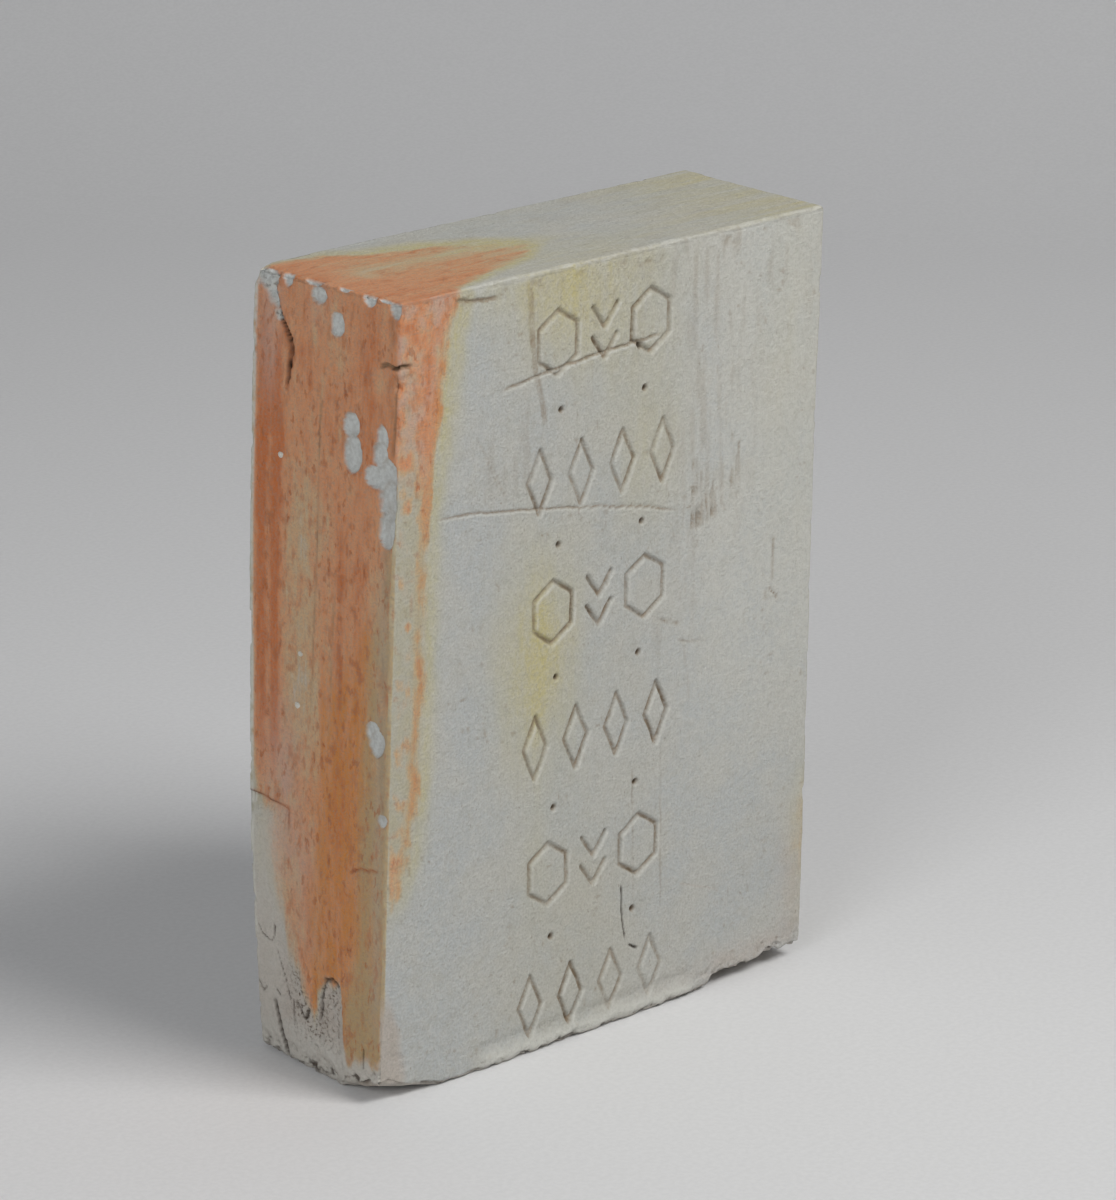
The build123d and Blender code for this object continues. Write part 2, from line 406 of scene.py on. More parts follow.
def line_end_face(skin):
    """Faint lines down the end face, and a shallow groove beside its front edge, darkened as painted
    shade.
    """
    reach, end = skin.reach, skin.on_end
    for line in ([(20.1, 141), (20.3, 104), (21.6, 74)], [(15.2, 106), (16.4, 70)]):
        score(skin, reach, line, 0.3, 0.2, where=end * (0.6 + 0.6 * skin.noise(4, 43)), dirt=0.7)
    groove_and_shade = bell(reach, 1.9 + 0.5 * noise(skin.place * (0, 0, 1), 9, 44), 0.8) * end
    groove_and_shade = groove_and_shade * unit(0.5 + skin.noise((1, 1, 3), 45)) * ramp(skin.z, 40, 60)
    skin.depth += 0.2 * groove_and_shade
    # painted shade along the groove beside the front edge
    skin.show("dirt", 0.32 * groove_and_shade)


def tear_end_face(skin):
    """The drying tear: a lap whose lower side lies deeper and fades out downwards, with a painted shadow
    along the lap's edge.
    """
    reach, z, end = skin.reach, skin.z, skin.on_end
    lap = [(27.8, 51), (27.5, 53.8), (31.9, 54.1), (36.4, 54.7), (41, 54.4)]
    lip_z = np.interp(reach, [27, 31.9, 36.4, 41], [53.6, 54.1, 54.7, 54.4])
    under = end * ramp(reach, 27.2, 28.2) * ramp(z, lip_z + 0.1, lip_z - 0.3)
    skin.depth += 1.1 * under * ramp(z, lip_z - 7.5, lip_z)
    skin.depth -= 0.35 * end * bell(z, lip_z + 1, 0.9) * ramp(reach, 27, 30)
    skin.show("cream", 0.9 * under * ramp(z, lip_z - 5.5, lip_z - 1.5))
    # painted shadow: a rust-brown and a dark line along the lap's edge, where it shades the lower side
    away, _ = line_distance(reach, z, lap)
    skin.show("rust", end * ramp(away, 0.9, 0.25))
    skin.show("dark", 0.6 * end * ramp(away, 0.4, 0.1) * ramp(reach, 28.5, 31))


# ---- chips
def chip(skin, across, up, centre, half, depth, where, ragged=0.2):
    """A break with a steep ragged rim and a pale rough floor; the rim's upper side is darkened as painted
    shade.
    """
    away = np.hypot((across - centre[0]) / half[0], (up - centre[1]) / half[1])
    near = (away < 1.6) & where
    away = away[near] + ragged * skin.ragged[near]
    inside = ramp(away, 1.08, 0.86)
    skin.sink(inside * depth * (0.85 + 0.25 * skin.crumbly[near]), near)
    skin.show("chip", ramp(away, 1.06, 0.96), near)
    # painted shade: the upper side of the rim darkened
    painted_rim_shade = bell(away, 0.92, 0.14) * ramp(up[near] - centre[1], -0.2 * half[1], 0.6 * half[1])
    skin.show("dirt", 0.4 * painted_rim_shade * (0.8 + skin.crumbly[near]), near)


def chip_end_face(skin):
    reach, end = skin.reach, skin.end > 0.05
    over = skin.z + skin.inset * (skin.top > 0.1)
    for *centre, half_wide, half_tall, depth in (
        (29.6, 159.6, 1.3, 2, 0.8),
        (22.8, 160.6, 2.2, 1.5, 0.8),
        (21.3, 157.6, 2.1, 1.6, 0.9),
        (8.2, 159.8, 1.7, 2.1, 0.9),
        (14.8, 161, 2, 0.5, 0.4),
        (4, 160.4, 1.9, 0.9, 0.6),
        (16.2, 152.9, 1.8, 2.3, 0.8),
        (12.1, 134.3, 2, 2.4, 0.9),
        (11.4, 128.7, 2.3, 3.7, 1),
    ):
        chip(skin, reach, over, centre, (half_wide, half_tall), depth, where=end)
    near = (np.abs(skin.around) < 14) & (skin.front + skin.end > 0.4)
    for *centre, half_wide, half_tall, depth in (
        (-1.2, 159, 1.5, 2.2, 1),
        (-3.9, 133.4, 1.5, 2.6, 0.8),
        (-4.4, 130, 1.9, 2.6, 0.9),
        (-5.8, 125.7, 2.5, 2.2, 0.9),
        (-2.4, 126, 2.5, 3.8, 1.3),
        (-1.9, 121.5, 2.4, 4.2, 1.4),
        (-2, 116, 2.1, 3.8, 1.1),
        (-4.6, 75.8, 1.7, 1.9, 0.7),
        (-3.2, 73.4, 2, 2.4, 1),
        (-1.2, 58.4, 1.2, 1.2, 0.6),
    ):
        chip(skin, skin.around, skin.z, centre, (half_wide, half_tall), depth, where=near)
    # the broken corner beside the firing crack
    shard = [(37.2, 161), (35.2, 159.2), (33.4, 155.6), (31.6, 151.4)]
    away, share = line_distance(reach, over, shard)
    away = away + 0.9 * skin.rough(1.5, 53)
    wide = np.interp(share, [0, 0.35, 0.55, 1], [2.4, 2.6, 1, 0.5])
    inside = end * ramp(away, wide + 0.5, wide - 0.3) * (over < 163.5)
    skin.sink(inside * (0.7 + skin.rough(1.1, 54)))
    skin.show("chip", inside)
    skin.show("worn", 0.6 * inside * ramp(skin.crumbly, -0.2, 0.3))
    skin.show("pits", inside * (0.35 + 0.8 * skin.crumbly))


def chip_back_edges(skin):
    """A crumbled top corner, and small scallops along the arrises and round the foot."""
    front, back, end, right = skin.front, skin.back, skin.end, skin.right
    from_corner = np.sqrt(skin.inset**2 + (BACK - skin.y) ** 2 + (HEIGHT - skin.z) ** 2)
    from_corner += 0.9 * skin.ragged
    skin.sink(ramp(from_corner, 4.6, 1) * (1 + 0.5 * skin.crumbly))
    skin.show("chip", 0.8 * ramp(from_corner, 4, 2.6) * ramp(skin.crumbly, -0.3, 0.3))
    skin.show("pits", 0.5 * ramp(from_corner, 5.5, 3.5) * ramp(skin.crumbly, -0.2, 0.3))
    strength = 4 * np.maximum.reduce([
        end * back,
        0.5 * right * (back + 0.5 * front),
        0.9 * back * skin.top,
        0.5 * skin.top * (right + 0.7 * end),
    ])
    bites = ramp(skin.rough(4.5, 55), 0.18, 0.5) * ramp(strength, 0.15, 0.7)
    skin.sink(0.95 * bites)
    skin.show("chip", 0.9 * ramp(bites, 0.1, 0.4))
    skin.show("cream", 0.6 * ramp(4 * end * back, 0.1, 0.6))
    ragged_foot = unit(4 * skin.foot * (front + back + end + right))
    crumbs = ramp(skin.rough(2.2, 56), 0, 0.5) * ramp(ragged_foot, 0.1, 0.6)
    skin.sink(0.9 * crumbs)
    skin.show("dark", 0.6 * ramp(crumbs, 0.5, 0.95) * (skin.z < 1.8))


def wear_arrises(skin):
    """The top front edge is rubbed pale and scalloped, with a painted shadow under it; a raised lip runs
    along the foot, painted pale as a painted highlight.
    """
    x, z = skin.x, skin.z
    over = z + skin.reach
    edge = 4 * skin.front * skin.top
    right_of_flame = ramp(x, -43, -38.5)
    scallop = ramp(skin.rough((4, 4, 2), 61), 0, 0.55)
    skin.depth += 0.45 * scallop * ramp(edge, 0.05, 0.8) * right_of_flame
    thick = 0.75 + 0.45 * bell(x, -30, 10) + 0.3 * bell(x, 50, 12)
    band = bell(over, HEIGHT + 0.1 + 1.1 * skin.rough(3, 62), thick)
    band = band * (skin.front + skin.top > 0.9) * ramp(skin.end + skin.back, 0.3, 0)
    skin.show("worn", right_of_flame * band * (0.6 + 0.5 * skin.rough(2, 63)))
    # painted shadow: a dark crumbly band under the worn top edge, over a shallow dent
    crumbs = ramp(skin.rough((2.2, 2.2, 1.4), 65), 0.15, 0.6) * bell(z, HEIGHT - 2.2, 1.5)
    skin.show("dirt", 0.5 * right_of_flame * crumbs * (skin.front > 0.5))
    skin.depth += 0.2 * right_of_flame * crumbs * (skin.front > 0.5)
    lip_stretch = ramp(x, -34, -29) * ramp(x, 30, 24)
    lip = bell(z, 1.8 + 0.5 * skin.noise(6, 64), 1.3) * lip_stretch * (skin.front > 0.3)
    skin.depth += 0.3 * bell(z, 4.8, 1.2) * lip_stretch * (skin.front > 0.3) - 0.35 * lip
    # painted highlight: the foot's raised lip painted pale
    skin.show("worn", 0.9 * lip)
    # near foot corner: a slim facet that widens downwards
    facet_edge = np.interp(z, [3, 15, 24], [6.4, 4.4, 1.2]) + 0.5 * skin.ragged
    facet = (skin.around > -1) * ramp(skin.around, facet_edge + 0.9, facet_edge - 0.9)
    facet = facet * ramp(z, 26, 16) * (skin.front > 0.2)
    skin.depth += 0.8 * facet * ramp(z, 26, 2)
    skin.show("grey", 0.9 * facet)
    skin.show("pink", 0.2 * facet)


def foot_rise(skin):
    """How far the foot's underside is broken up from the floor at each place."""
    corner = 4.4 * unit(1 - skin.inset / 17 - skin.reach / 14)
    profile = np.interp(skin.x, [31.5, 33, 41, 46.9, 54.4, RIGHT], [0, 2, 2.4, 2.9, 3.1, 2.8])
    broken = profile * ramp(skin.reach, 11 + 3 * skin.noise(7, 71), 2) * ramp(skin.x, 31, 32.5)
    rim = np.minimum.reduce([skin.inset, skin.reach, RIGHT - skin.x, BACK - skin.y])
    crumble = np.clip(0.4 + skin.rough(2.2, 72, up=0, octaves=4), 0, 1.2) * ramp(rim, 3, 0)
    coarse = 0.35 + 0.45 * ramp(skin.inset, 6, 0) + 0.7 * ramp(skin.x, 24, 32)
    return np.maximum(corner, broken) + coarse * crumble


# ---- overall unevenness
def weather(skin):
    """Drag marks down the extruded faces, wire marks across the cut ends, and shallow pits."""
    drag = skin.rough((0.9, 0.9, 1), 81, up=0.02)
    drag = drag * (skin.front + 1.6 * skin.end + skin.back + skin.right)
    wire = rough(skin.place * (0.03, 1, 1), (1, 0.8, 1), 82) * (skin.top + 1.5 * skin.foot)
    swell = skin.rough(24, 83)
    grainy = skin.rough(1.1, 84, octaves=2)
    skin.depth += 0.035 * drag + 0.05 * wire + 0.16 * swell + 0.03 * grainy
    pits = ramp(skin.noise(0.9, 85), 0.62, 0.85)
    skin.depth += 0.16 * pits
    tongue = skin.end * ramp(skin.z, 23, 20) * ramp(skin.reach, 11.5, 13) * ramp(skin.reach, 26, 19)
    skin.depth += tongue * (0.3 + 0.35 * skin.rough(1.3, 86))


# ---- kiln colours, and a band of painted shade by the end face's front edge
END_STRIPES = (  # flame on the end face: middle, half width, lowest, highest, how much is added
    (35.4, 1.7, 62, 150, 0.5),
    (31.6, 1.5, 60, 146, 0.6),
    (33.4, 0.7, 60, 140, -0.12),
    (18.4, 0.6, 40, 148, 0.12),
    (13.8, 1.2, 50, 122, 0.28),
    (9.5, 3.4, 50, 160, 0.14),
    (24, 5, 64, 124, -0.24),
    (20, 1.6, -10, 24, -0.3),
    (13.5, 4, 18, 66, 0.24),
    (27.5, 1.6, 20, 53, 0.14),
    (30.6, 0.9, 22, 50, 0.22),
    (22, 1.2, 12, 60, 0.12),
    (16.5, 1, 22, 60, 0.12),
)


def bare_height(reach):
    """How far up the end face its bare clay goes, from the stamped face's side to the back's."""
    return np.interp(
        reach,
        [0, 2, 10.5, 12, 13, 18, 19.5, 21, 24, 28.5, 29.5, 34.5, 39],
        [6, 5, 5, 10, 21, 21.5, 18, 11, 15, 24, 30, 38, 39],
    )


def paint_end_face(skin):
    """Orange flashing in upright stripes, paler and yellower low down, bare clay at the foot."""
    reach, z, end = skin.reach, skin.z, ramp(skin.end, 0.2, 0.6)
    drift, cloud = skin.rough(3, 91, up=0.1), skin.rough(9, 96, up=0.4)
    mottled = skin.rough(2.6, 99, up=0.45, octaves=4)
    across = reach + 0.5 * skin.rough((4, 4, 1.5), 92, up=0.05) + 0.5 * mottled

    bare_top = bare_height(reach)
    soft = np.interp(reach, [0, 18, 22, 27, 39], [2.2, 2.4, 6, 11, 13])
    fingers = 2.5 + 4 * ramp(reach, 18, 26)
    bare = ramp(z + 1.6 * skin.ragged + fingers * drift, bare_top + soft, bare_top - soft)
    show = skin.painter(end * (1 - bare))

    arris = ramp(skin.front, 0.1, 0.5) * ramp(z, 132, 118)
    rim_edge = THICKNESS - np.interp(z, [50, 62, 100, 160], [3.2, 1.1, 0.8, 0.4]) - 0.5 * drift
    rim = ramp(reach, rim_edge - 1.4, rim_edge + 0.4)
    rim = np.maximum(rim, ramp(z, 54, 50) * ramp(reach, 31 + drift, 34))
    left_fade = ramp(z, 68, 40) * ramp(reach + 2.5 * drift, 20, 33)
    ochre_edge = np.interp(z, [4, 18, 30, 60, 90, 112], [12.5, 12, 8, 8, 6.6, 3.6])
    ochre = ramp(across, ochre_edge + 2.2, ochre_edge - 3.2) * ramp(z, 126, 100)
    show("ochre", ochre * (0.8 + 0.5 * mottled))

    flash = 0.57 + 0.1 * (drift + cloud) + 0.13 * mottled + 0.1 * ramp(z, 110, 130)
    for middle, half, low, high, strength in END_STRIPES:
        reached = ramp(z, low - 8, low + 14) * ramp(z, high + 8, high - 12)
        flash += strength * bell(across, middle, half) * reached
    flash *= (1 - 0.85 * rim) * (1 - 0.55 * left_fade) * (1 - 0.9 * arris)
    show("flash", flash * (1 - 0.2 * ochre))
    amber = ramp(z, 105, 60) * ramp(reach, 26, 14) * (1.05 + 0.8 * drift)
    show("halo", unit(amber + 0.2 + 0.4 * drift + 0.3 * cloud))
    pale_edge = 0.9 * rim * ramp(z, 44, 62) + 0.6 * left_fade + 0.5 * bell(z, bare_top + 2.5, 3)
    show("cream", unit(np.maximum(pale_edge, arris)))
    pink = bell(reach, 29.5, 5.5) * ramp(z, 34, 46) * ramp(z, 86, 62)
    pink += bell(reach, 34.5, 3.5) * ramp(z, 128, 146) + 0.7 * bell(reach, 21, 3) * ramp(z, 148, 155)
    pink += 0.5 * bell(reach, 24, 5) * ramp(z, 18, 30) * ramp(z, 56, 46)
    show("pink", 0.75 * unit(pink) * (0.8 + 0.5 * drift))
    show("rust", (1 - rim) * rust_marks(skin, across))
    paint_bare_foot(skin, end, bare)


def rust_marks(skin, across):
    """Upright specks, a broken line and curls of rust on the end face."""
    z = skin.z
    thick = 0.35 + 0.5 * bell(across, 14, 7) + 0.4 * bell(across, 33, 3) + 0.35 * bell(z, 85, 35)
    specks = unit(thick) * ramp(skin.rough(1.2, 93, up=0.45, octaves=2), 0.24, 0.62)
    line = bell(across, 13.8, 0.6) * ramp(z, 42, 60) * ramp(z, 122, 100)
    line = line * ramp(rough(skin.place * (0, 0, 1), 4, 94), -0.1, 0.3)
    curls = bell(across, 10, 6) * ramp(z, 70, 50) * ramp(skin.rough(2.4, 100), 0.2, 0.6)
    return np.maximum.reduce([0.95 * specks, 0.8 * line, 0.6 * curls])


def paint_bare_foot(skin, end, bare):
    """Bare clay low on the end face, crumbled in its tongue and torn along the floor, and a grey band of
    painted shade beside the front edge.
    """
    reach, z, show = skin.reach, skin.z, skin.painter(end)
    show("grey", bare)
    show("cream", 0.4 * bare * ramp(z, 12, 36) * ramp(reach, 24, 33))
    paler = np.maximum(0.3 * bare * (0.6 + skin.crumbly), 0.32 * ramp(z, 54, 50)) * ramp(reach, 27, 33)
    show("worn", np.maximum(paler, 0.5 * bare * ramp(z, 12, 5)))
    # painted shade: a grey band on the end face's rounded front edge
    show("grey", 0.3 * bell(reach, 2.2, 1.6) * ramp(z, 122, 98) * ramp(z, 6, 24))
    crumbling = bare * ramp(z, 27, 19) * ramp(z, 3.5, 9) * ramp(reach, 12.4, 14) * ramp(reach, 32, 25)
    hollowed = 0.58 + 0.35 * bell(z, bare_height(reach) - 1.5, 2.5) + 0.35 * bell(reach, 23, 4)
    show("pits", unit(crumbling * (hollowed + 0.5 * skin.ragged)))
    torn = skin.rough(1.7, 97)
    ragged_rim = ramp(z, 5, 2.2) * (0.3 + 0.9 * torn)
    show("pits", unit(0.9 * ragged_rim))
    show("dark", 0.85 * ramp(torn, 0.15, 0.45) * ramp(z, 3.8, 1.4))
    show("worn", 0.6 * ramp(skin.rough(1.3, 98), 0.1, 0.6) * ramp(z, 5, 2))
    frayed = ramp(reach, THICKNESS - 1.8, THICKNESS - 1.1) * ramp(skin.ragged, -0.6, 0) * ramp(z, 8, 30)
    skin.show("worn", 0.9 * frayed * (skin.end > 0.02))
    skin.depth += 0.35 * end * crumbling * (0.4 + skin.crumbly)
    skin.depth += 0.8 * end * np.clip(ragged_rim, 0, 1.5) * ramp(reach, 0, 3)


def clouds(x, z, rows):
    """Soft patches added up: each a strength, its middle and half width in x, then both in z."""
    return sum(
        strength * bell(x, across, wide) * bell(z, up, tall) for strength, across, wide, up, tall in rows
    )


def paint_flame_edge(skin):
    """The flame laps round the corner onto the stamped face, with a yellow fringe."""
    z, inset, show = skin.z, skin.inset, skin.painter(ramp(skin.front, 0.2, 0.6))
    drift, blotch = skin.rough(7, 101), skin.rough(3, 102, up=0.7)
    mottled = skin.rough(2.2, 107, up=0.75, octaves=4)
    heights = [36, 42, 50, 60, 80, 105, 125, 140, 150, 158]
    flame = np.interp(z, heights, [0, 4.5, 6.8, 7.8, 8.6, 8.6, 9.4, 10.4, 11.2, 14.5])
    flame += 0.6 * drift + 0.3 * blotch
    high = ramp(z, 116, 138)
    edge = bell(inset, flame - 1.5 - 1.4 * high + 0.6 * blotch, 1.9 + 1.5 * high)
    line = edge * ramp(z, 33, 46)
    inside = ramp(inset, flame + 0.3, flame - 2.5 - 1.5 * high) * ramp(z, 35, 45)
    flash = line * (0.3 + 0.42 * high + 0.15 * blotch + 0.25 * mottled)
    patches = 0.1 + 0.42 * high + 0.25 * bell(z, 48, 9) + (0.3 + 0.3 * high) * mottled
    near_top = ramp(z, 148, 156) * (0.6 + 0.2 * drift + 0.3 * mottled)
    flash = np.maximum(flash, inside * np.maximum(patches, near_top))
    show("flash", unit(flash * (1 - 0.7 * ramp(inset, 1.6, 0.4) * ramp(z, 132, 118))))
    show("rust", 0.45 * inside * ramp(skin.rough(1.3, 108, up=0.8, octaves=2), 0.3, 0.75))
    show("halo", 0.6 * line * (1 - 0.8 * high))
    show("cream", inside * (0.75 - 0.5 * mottled))
    show("ochre", 0.35 * edge * ramp(z, 38, 60) * ramp(z, 140, 110))
    show("pink", 0.75 * inside * high * ramp(mottled, 0.15, -0.3))
    fringe = bell(inset, flame + 0.9 + 0.8 * high, 2.4 + 1.2 * high) * ramp(z, 33, 48)
    show("halo", (0.62 + 0.2 * high) * fringe * (1 + 0.4 * blotch))
    tint = clouds(skin.x, z, ((1, RIGHT - 3, 4, 18, 12), (0.7, RIGHT - 20, 22, 3, 4)))
    show("pink", 0.35 * tint * (0.8 + 0.5 * drift))
    glow = clouds(skin.x, z, ((1, RIGHT - 1, 3.5, 26, 16),)) * (0.8 + 0.6 * drift)
    show("flash", 0.3 * glow)
    show("halo", 0.7 * glow)


def paint_wide_face(skin):
    """Yellow stains round the stamp column, dusky smears, specks, and the torn bottom edge."""
    x, z, front = skin.x, skin.z, ramp(skin.front, 0.2, 0.6)
    show = skin.painter(front)
    stains = clouds(x, z, (
        (0.9, -12, 12, 156, 15),
        (0.5, -29, 10, 159, 8),
        (0.35, 8, 14, 158, 26),
        (1.3, -19, 9, 82, 19),
        (0.38, 12, 8, 120, 15),
        (0.3, -18, 4, 40, 12),
    ))
    stains += 0.08 * bell(x, -4, 20) * ramp(z, 4, 40) + 0.25 * bell(x, RIGHT - 8, 14) * ramp(z, 70, 130)
    show("halo", unit(1.2 * stains * (0.65 + 0.4 * skin.rough(4.5, 103, up=0.2))))
    show("cream", 0.3 * bell(x, -8, 20) * ramp(z, 60, 20))
    show("worn", 0.45 * ramp(x, 4, 40) * ramp(z, 20, 90))
    dusky = clouds(x, z, ((1, 27, 12, 112, 22), (0.8, -27, 9, 124, 9), (0.5, 16, 10, 80, 8)))
    dusky += 0.8 * bell(x, 32, 14) * ramp(z, 118, 150) + 0.9 * bell(x, -21.5, 1.8) * ramp(z, 118, 140)
    dusky += 0.45 * ramp(z, 122, 158) * ramp(x, -26, -8)
    show("dirt", 0.27 * unit(dusky) * ramp(skin.rough(1.5, 104, up=0.15), 0, 0.7))
    specks = ramp(skin.noise(0.75, 105, up=0.6), 0.7, 0.9)
    show("dirt", 0.45 * specks * ramp(skin.noise(9, 106), -0.4, 0.6))
    torn = ramp(skin.rough(2.6, 109, up=1.5), 0, 0.5) * ramp(z, 2.2 + 2.6 * ramp(x, 24, 31), 0.8)
    show("pits", torn)
    show("dark", 0.6 * ramp(torn, 0.5, 0.9) * (z < 1.6))
    skin.depth += 0.5 * front * torn


def paint_cut_ends(skin):
    """A tongue of flame over the near end of the top, drawn out along the bar's width."""
    inset, reach, top = skin.inset, skin.reach, ramp(skin.top, 0.2, 0.6)
    show = skin.painter(top)
    drawn = rough(skin.place * (0.07, 1, 1), (2, 1.6, 2), 111)
    drift = rough(skin.place * (0.3, 1, 1), (7, 3, 3), 112)
    low = np.interp(inset, [0, 14, 16.5, 30.6, 42.4, 52.1], [-4, -2, 1.5, 7.2, 9.7, 16]) + drift
    high = np.interp(inset, [0, 5.9, 14.5, 21.9, 34, 46.2, 52.1], [38.5, 37.6, 36, 30.7, 28.3, 22, 18])
    high += drift
    tongue = ramp(reach, low - 1.5, low + 2.5) * ramp(reach, high + 1.2, high - 3.5) * ramp(inset, 56, 42)
    middle = (reach - low) / np.maximum(high - low, 1)
    gold = bell(middle, 0.62, 0.2) * ramp(inset, 2, 12)
    core = unit(0.78 - inset / 95) * (1 - 0.45 * gold)
    show("flash", tongue * unit(core + 0.16 * drawn))
    edge_glow = ramp(reach, high + 7, high - 1) * ramp(reach, low - 4, low + 1) * ramp(inset, 64, 44)
    show("halo", edge_glow * (0.5 + 0.6 * ramp(inset, 8, 26)))
    stains = 0.5 * ramp(skin.x, 15, 55) + 0.35 * bell(skin.x, 0, 30) * ramp(reach, 20, 4) + 0.12
    show("halo", unit(stains * (0.8 + 0.6 * drawn)))
    show("dirt", 0.1 * ramp(rough(skin.place * (0.4, 1, 1), 3, 113), 0, 0.7))
    skin.show("cut", np.maximum(top, ramp(skin.foot, 0.2, 0.6)))


def paint_hidden_faces(skin):
    """Weaker flashing on the right end and round the back's edges, bare clay under the foot."""
    back, right, foot = (ramp(side, 0.2, 0.6) for side in (skin.back, skin.right, skin.foot))
    drift = skin.rough((5, 5, 5), 121, up=0.15)
    show = skin.painter(right)
    show("flash", unit(bell(skin.reach, 26, 11) * ramp(skin.z, 20, 90) * (0.16 + 0.4 * drift)))
    show("halo", unit(0.45 + 0.4 * drift) * ramp(skin.z, 4, 30))
    show("cream", 0.5)
    show = skin.painter(back)
    from_ends = np.minimum(skin.inset, 1.6 * (RIGHT - skin.x))
    width = 7 + 2.5 * skin.rough(12, 122)
    show("flash", 0.6 * bell(from_ends, width - 2, 2.2) * ramp(skin.z, 45, 75))
    show("cream", 0.8 * ramp(from_ends, width, width - 3) * ramp(skin.z, 35, 60))
    show("halo", 0.6 * ramp(from_ends, width + 5, width) * ramp(skin.z, 35, 60))
    show("halo", 0.5 * ramp(skin.rough(30, 123), 0.15, 0.7))
    smears = ramp(skin.rough(1.8, 125, up=0.15), 0.05, 0.7)
    patches = ramp(skin.rough(18, 126), -0.3, 0.5)
    skin.show("dirt", np.maximum(back, 0.8 * right) * 0.4 * smears * patches)
    show = skin.painter(np.maximum(back, right))
    show("worn", 0.5 * (1 - patches))
    pocked = ramp(skin.noise(1.6, 127), 0.68, 0.9)
    show("dirt", 0.5 * pocked)
    skin.depth += 0.35 * np.maximum(back, right) * pocked
    drags = np.random.default_rng(128)
    for _ in range(14):
        start_x, start_z = drags.uniform(-46, 50), drags.uniform(30, 150)
        line = [(start_x, start_z), (start_x + drags.uniform(-1, 1), start_z - drags.uniform(8, 30))]
        score(skin, skin.x, line, drags.uniform(0.3, 0.9), 0.25, where=back, dirt=0.55)
    show = skin.painter(foot)
    show("grey", 0.7)
    show("dirt", 0.35 * ramp(skin.rough(3, 124), 0.1, 0.7))


# ---- the bar's mesh
# where each face's paint lies on the texture: lower left corner, the axes across and up,
# and how much of the texture a millimetre takes
FINE, COARSE = 0.0041, 0.0027
ISLANDS = {
    "end": ((0.495, 0.005), (1, 2), FINE),
    "right": ((0.66, 0.005), (1, 2), FINE),
    "front": ((0.005, 0.005), (0, 2), FINE),
    "back": ((0.495, 0.668), (2, 0), COARSE),
    "foot": ((0.825, 0.005), (1, 0), FINE),
    "top": ((0.005, 0.668), (0, 1), FINE),
}


def fine_bands():
    """Height bands that need close grid lines: the stamped rows and the pits between them."""
    rows = [TOP_ROW_Z - row * ROW_PITCH for row in range(ROWS)]
    bands = [(z - 7.6, z + 7.6, 0.3) for z in rows]
    return bands + [(z - ROW_PITCH / 2 - 1.6, z - ROW_PITCH / 2 + 1.6, 0.3) for z in rows[:-1]]


def new_mesh(name, places, faces):
    mesh = bpy.data.meshes.new(name)
    mesh.from_pydata((places * MM).tolist(), [], faces.tolist())
    mesh.shade_smooth()
    piece = bpy.data.objects.new(name, mesh)
    bpy.context.scene.collection.objects.link(piece)
    return piece


def unwrap(mesh, places, faces, sheets):
    """Lays each face of the box flat, apart from the others."""
    corners = places[faces]
    flat = np.zeros((len(faces), 4, 2))
    low = places.min(axis=0)
    for sheet, (origin, axes, scale) in enumerate(ISLANDS.values()):
        mine = sheets == sheet
        flat[mine] = np.array(origin) + (corners[mine][:, :, axes] - low[list(axes)]) * scale
    layer = mesh.uv_layers.new(name="OFBake")
    layer.data.foreach_set("uv", flat.ravel())


def build_bar():
    column, scuffed = (COLUMN_X - 20.5, COLUMN_X + 20.5, 0.3), (COLUMN_X + 20.5, 38, 0.4)
    near_ends = [(LEFT, LEFT + ARRIS, 0.35), (RIGHT - ARRIS, RIGHT + 1, 0.35)]
    near_sides = [(FRONT, FRONT + ARRIS, 0.33), (BACK - ARRIS, BACK + 1, 0.33)]
    near_cuts = [(0, ARRIS, 0.35), (HEIGHT - 3.5, HEIGHT + 1, 0.33)]
    xs = grid_lines(LEFT, RIGHT, 0.65, [*near_ends, column, scuffed])
    ys = grid_lines(FRONT, BACK, 0.42, near_sides)
    zs = grid_lines(0, HEIGHT, 0.5, near_cuts + fine_bands())
    places, faces, sheets = box_shell(xs, ys, zs)
    skin = Skin(places)
    for work in (
        weather, press_stamps, scratch_wide_face, crack_end_face, crack_foot, notch_corner_edge,
        line_end_face, tear_end_face, chip_end_face, chip_back_edges, wear_arrises,
        paint_end_face, paint_flame_edge, paint_wide_face, paint_cut_ends, paint_hidden_faces,
    ):
        work(skin)
    piece = new_mesh("fired_bar", skin.shaped(), faces)
    for name, strength in skin.paint.items():
        values = unit(strength).astype(np.float32)
        piece.data.attributes.new(name, "FLOAT", "POINT").data.foreach_set("value", values)
    unwrap(piece.data, places, faces, sheets)
    thin_hidden_faces(piece, skin)
    return piece


def thin_hidden_faces(piece, skin):
    """The back, the right end and the foot carry no fine marks, so their mesh is thinned."""
    visible = np.maximum.reduce([skin.front, skin.end, skin.top]) > 0.02
    group = piece.vertex_groups.new(name="hidden")
    group.add(np.flatnonzero(~visible).tolist(), 1, "REPLACE")
    modifier = piece.modifiers.new("thin", "DECIMATE")
    modifier.vertex_group = "hidden"
    modifier.ratio = 0.55


